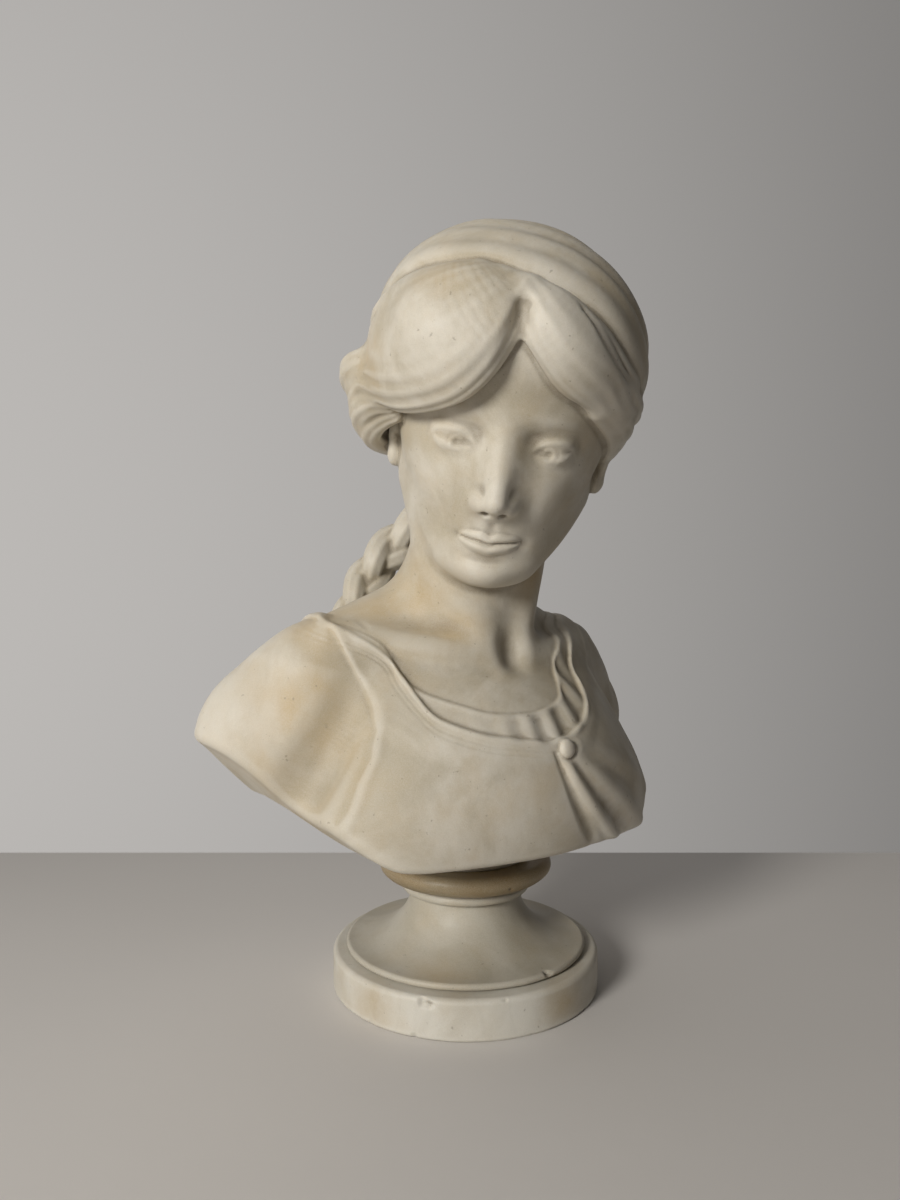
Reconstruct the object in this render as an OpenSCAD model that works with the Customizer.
/* [Socle] */
// Diameter of the drum at the foot of the socle
drum_d = 120; // [110:1:130]
// Height of the drum
drum_h = 17; // [15:0.5:20]
// Diameter of the flared disc of the stem
disc_d = 108; // [100:1:109]
// Thickness of the disc's rounded rim
rim_h = 3; // [2:0.5:4]
// Diameter of the stem at its waist
waist_d = 50; // [44:1:54]
// Height of the waist above the underside of the drum
waist_z = 42; // [38:0.5:44]
// Diameter of the bead above the waist
bead_d = 58.4; // [56:0.2:62]
// Diameter of the honey-coloured collar
cap_d = 78; // [74:1:86]
// Height of the collar
cap_h = 10.1; // [9:0.1:14]

/* [Bust] */
// Width across the shoulder tips
shoulder_w = 230; // [214:1:240]
// Distance from the shoulder tips' level to the lower edge of the chest
cut_rise = 47; // [42:1:52]
// Height of the chest's lower edge above the collar
hem_gap = 13; // [11:0.5:16]
// Diameter of the round foot under the chest
foot_d = 56; // [50:1:60]
// Width of the head without its hair
head_w = 98; // [94:1:102]
// Forward tilt of the head, degrees
head_nod = 20; // [14:1:26]
// Turn of the head to the sitter's right, degrees
head_turn = 34; // [26:1:40]
// Lean of the crown to the sitter's left, degrees
head_lean = 8; // [4:1:12]

/* [Fixings] */
// Diameter of the tie rod
rod_d = 8; // [6:1:10]
// Diameter of the clearance hole through the socle
rod_hole_d = 9; // [8.6:0.1:12]
// Diameter of the hole drilled in the foot for the setting
socket_d = 14; // [12:1:18]
// Width of the nut across its flats
nut_af = 13; // [10:1:17]
// Diameter of the recess in the drum's underside
recess_d = 34; // [26:1:40]

/* [Hidden] */
bed_h = 0.4;                                    // thickness of a plaster bed
recess_h = 11;
washer_d = 18;
washer_h = 1.6;
nut_h = 6.5;
rod_end = 1.2;                                  // how far the rod passes the nut
stem_z = drum_h + bed_h;
stem_top = waist_z + 4.6;
cap_z = stem_top + bed_h;
seat_z = cap_z + cap_h;                         // level of the face that the bust stands on
foot_h = 30;
foot_top = seat_z + foot_h;
hem_z = seat_z + hem_gap;                       // lower edge of the chest
tip_z = hem_z + cut_rise;                       // lower tips of the shoulders
tip_x = shoulder_w / 2;
hem_x = 0.62 * tip_x;                           // where the level hem meets the slanted cuts
corner_r = 5;                                   // roundness of the cut's corners
edge_r = 8;                                     // roundness of the trunk's side edges
head = head_w / 98;                             // scale of the head
head_at = [3.5, -25, hem_z + 188];              // middle of the head, between the ears
marble = "#d9d2c3";
honey = "#c7ae80";
plaster = "#cfc9bb";
steel = "#8d8f91";

// Points of an arc in the r-z plane, from angle a to angle b about (cr, cz).
function arc(cr, cz, rr, rz, a, b, n) =
    [for (i = [0 : n]) let (t = a + (b - a) * i / n) [cr + rr * cos(t), cz + rz * sin(t)]];

// A turned piece: the outline revolved, less a hole of diameter d through its middle.
module turned(outline, bottom, top, d) {
    difference() {
        rotate_extrude($fn = 128) polygon(outline);
        translate([0, 0, bottom - 1]) cylinder(d = d, h = top - bottom + 2, $fn = 64);
    }
}

// A closed skin through rings of points, all with the same number of points.
module skin(rings) {
    n = len(rings[0]);
    m = len(rings);
    sides = [for (j = [0 : m - 2], i = [0 : n - 1]) each
        [[j * n + i, (j + 1) * n + (i + 1) % n, j * n + (i + 1) % n],
         [j * n + i, (j + 1) * n + i, (j + 1) * n + (i + 1) % n]]];
    ends = [[for (i = [0 : n - 1]) i], [for (i = [n - 1 : -1 : 0]) (m - 1) * n + i]];
    polyhedron([for (r = rings) each r], concat(sides, ends));
}

// An ellipsoid with these three radii, its middle at p.
module ball(p, radii, turn = [0, 0, 0], fn = 30) {
    translate(p) rotate(turn) scale(radii) sphere(1, $fn = fn);
}

module socle_base() {
    r = drum_d / 2;
    round_r = 2.2;
    chamfer = 0.8;
    color("#d6ccb6") difference() {
        turned(concat([[0, 0], [r - chamfer, 0], [r, chamfer]],
                      arc(r - round_r, drum_h - round_r, round_r, round_r, 0, 90, 6),
                      [[0, drum_h]]), 0, drum_h, rod_hole_d);
        translate([0, 0, -1]) cylinder(d = recess_d, h = recess_h + 1, $fn = 64);
    }
}

module bedding(z, d) {
    color(plaster) difference() {
        translate([0, 0, z]) cylinder(d = d, h = bed_h, $fn = 96);
        translate([0, 0, z - 1]) cylinder(d = rod_hole_d + 4, h = bed_h + 2, $fn = 48);
    }
}

module lower_bedding() bedding(drum_h, disc_d - 5);

module upper_bedding() bedding(stem_top, bead_d - 6);

// Disc with a half-round rim, a hollow flare up to the waist, and a bead on top.
module socle_stem() {
    r = disc_d / 2;
    w = waist_d / 2;
    flare_r = r - rim_h / 2 - w;
    flare_h = waist_z - stem_z - rim_h;
    bead_r = (stem_top - waist_z) / 2;
    color("#d5d1c6") turned(concat(
        [[0, stem_z], [r - rim_h / 2, stem_z]],
        arc(r - rim_h / 2, stem_z + rim_h / 2, rim_h / 2, rim_h / 2, -60, 90, 8),
        arc(w + flare_r, waist_z, flare_r, flare_h, -100, -180, 14),
        arc(bead_d / 2 - bead_r, waist_z + bead_r, bead_r, bead_r, -90, 80, 8),
        [[0, stem_top]]), stem_z, stem_top, rod_hole_d);
}

// Quarter-round bowl that closes to a flat seat under the bust.
module socle_cap() {
    r = cap_d / 2;
    bowl = 11.8;
    lip = 3.4;
    color(honey) turned(concat(
        [[0, cap_z]],
        arc(r - bowl, seat_z - lip, bowl, seat_z - lip - cap_z, -90, 0, 12),
        arc(r - lip, seat_z - lip, lip, lip, 15, 90, 6),
        [[0, seat_z]]), cap_z, seat_z, rod_hole_d);
}

module tie_rod() {
    bottom = recess_h - washer_h - nut_h - rod_end;
    color(steel) translate([0, 0, bottom]) cylinder(d = rod_d, h = foot_top - 3 - bottom, $fn = 48);
}

// Plaster that fills the drilled hole in the foot round the rod.
module rod_setting() {
    color(plaster) difference() {
        translate([0, 0, seat_z]) cylinder(d = socket_d, h = foot_h - 2, $fn = 64);
        translate([0, 0, seat_z - 1]) cylinder(d = rod_d, h = foot_h - 2, $fn = 48);
    }
}

module rod_washer() {
    color(steel) translate([0, 0, recess_h - washer_h]) difference() {
        cylinder(d = washer_d, h = washer_h, $fn = 64);
        translate([0, 0, -1]) cylinder(d = rod_d + 0.6, h = washer_h + 2, $fn = 48);
    }
}

// Hexagon nut with its corners turned off.
module rod_nut() {
    corner = nut_af / 2 / cos(30);
    turn_off = 0.7;
    color(steel) translate([0, 0, recess_h - washer_h - nut_h]) difference() {
        intersection() {
            cylinder(r = corner, h = nut_h, $fn = 6);
            rotate_extrude($fn = 96)
                polygon([[0, 0], [corner - 1.6 * turn_off, 0], [corner + 0.1, turn_off],
                         [corner + 0.1, nut_h - turn_off], [corner - 1.6 * turn_off, nut_h], [0, nut_h]]);
        }
        translate([0, 0, -1]) cylinder(d = rod_d, h = nut_h + 2, $fn = 48);
    }
}

// One level section of the trunk: half width w, front depth f, back depth b, how far the
// sides are set back behind the middle, and k, which is low where the front comes to a ridge.
function trunk_ring(z, w, f, b, set_back, k) =
    [for (i = [0 : 35]) let (
        t = 10 * i,
        out = 1 - pow(abs(cos(t)), sin(t) < 0 ? k : 2.4),
        y = sin(t) < 0 ? -(f - edge_r) * out : (b - edge_r) * out)
     [w * cos(t), y + edge_r * sin(t) + set_back * pow(w * cos(t) / tip_x, 2), z]];

// Shoulders, chest and the root of the neck, uncut at the bottom.
module trunk() {
    w = tip_x;
    skin([
        trunk_ring(hem_z - 6, 0.93 * w, 60, 44, 20, 3.6),
        trunk_ring(hem_z + 12, 0.96 * w, 64, 47, 24, 2.7),
        trunk_ring(hem_z + 30, 0.99 * w, 66, 49, 26, 1.9),
        trunk_ring(hem_z + 46, 1.00 * w, 64, 50, 26, 1.5),
        trunk_ring(hem_z + 58, 0.97 * w, 50, 49, 24, 1.5),
        trunk_ring(hem_z + 70, 0.92 * w, 37, 46, 22, 1.7),
        trunk_ring(hem_z + 81, 0.85 * w, 28, 43, 20, 2.0),
        trunk_ring(hem_z + 91, 0.75 * w, 24, 39, 16, 2.0),
        trunk_ring(hem_z + 100, 0.57 * w, 23, 35, 10, 2.0),
        trunk_ring(hem_z + 107, 0.40 * w, 24, 31, 3, 2.0)]);
}

// Front outline of the chest: a level hem with slanted cuts up to the shoulder tips.
module cut_outline() {
    offset(r = corner_r, $fn = 32) offset(delta = -corner_r)
        polygon([[-hem_x, hem_z], [hem_x, hem_z], [tip_x + 3, tip_z], [tip_x + 12, hem_z + 90],
                 [0, hem_z + 150], [-tip_x - 12, hem_z + 90], [-tip_x - 3, tip_z]]);
}

// Neck, from inside the shoulders to the base of the skull.
module neck() {
    skin([for (i = [0 : 7]) let (
        s = i / 7,
        r = 28.5 + 12 * pow(1 - s, 3),
        lean = 3 - 21 * pow(s, 1.2))
        [for (k = [0 : 23])
            [3 * s + r * cos(15 * k), lean + r * sin(15 * k), hem_z + 84 + 62 * s]]]);
}

// Skull, face, hair, ears and scarf, in the head's own frame: face to -Y, crown to +Z.
module head_mass() {
    ball([-2.5, 6, 19], [58.5, 66, 53], fn = 40);                  // crown under the scarf
    ball([0, -13, -14], [42, 46, 50], fn = 40);                    // face
    ball([0, -33, -44], [25, 22, 25]);                             // jaw and chin
    ball([0, -56, -11], [6, 9, 17], [-14, 0, 0], fn = 20);         // nose
    ball([0, -52, -40], [12, 6, 5], fn = 20);                      // lips
    ball([0, 40, -12], [38, 30, 34]);                              // hair at the nape
    ball([-56, 6, 2], [14, 16, 14]);                               // curl behind the right temple
    for (side = [-1, 1]) {
        puff = side < 0 ? 1.18 : 1;                                // the right side is fuller
        ball([side * 27 * puff, -32, 26], [27 * puff, 28, 21 * puff], [20, side * 24, 0]);
        ball([side * 42 * puff, -4, 0], [13 * puff, 25, 23], [0, side * -8, 0]);
        ball([side * 45, 4, -26], [5, 9, 14], [14, 0, 0], fn = 20);  // ear
    }
}

// Plait that hangs from the nape down the back, as overlapping lobes.
module plait() {
    lobes = 8;
    for (i = [0 : lobes]) {
        s = i / lobes;
        size = 1 - 0.3 * s;
        swing = 3 * cos(180 * i);
        ball([8 - 44 * s + swing, 38 + 62 * s - 58 * s * s, hem_z + 150 - 92 * s],
             [13 * size, 12 * size, 14 * size], [20, 6 * swing, 0], fn = 20);
    }
}

// Space under and behind the chest, which leaves a shell round the foot.
module hollow() {
    ball([0, 30, hem_z - 12], [0.83 * tip_x, 68, 56], fn = 48);
}

module carving() {
    difference() {
        union() {
            intersection() {
                trunk();
                translate([0, 120, 0]) rotate([90, 0, 0]) linear_extrude(240) cut_outline();
            }
            neck();
        }
        hollow();
    }
    translate([0, 0, foot_top]) cylinder(d = foot_d, h = 22, $fn = 48);
    translate(head_at) rotate([head_nod, head_lean, -head_turn]) scale(head) head_mass();
    plait();
}

module foot() {
    difference() {
        translate([0, 0, seat_z]) cylinder(d = foot_d, h = foot_h, $fn = 96);
        translate([0, 0, seat_z - 1]) cylinder(d = socket_d, h = foot_h - 1, $fn = 64);
    }
}

module bust() {
    color(marble) {
        render() carving();
        foot();
    }
}

bust();
socle_cap();
upper_bedding();
socle_stem();
lower_bedding();
socle_base();
tie_rod();
rod_setting();
rod_washer();
rod_nut();
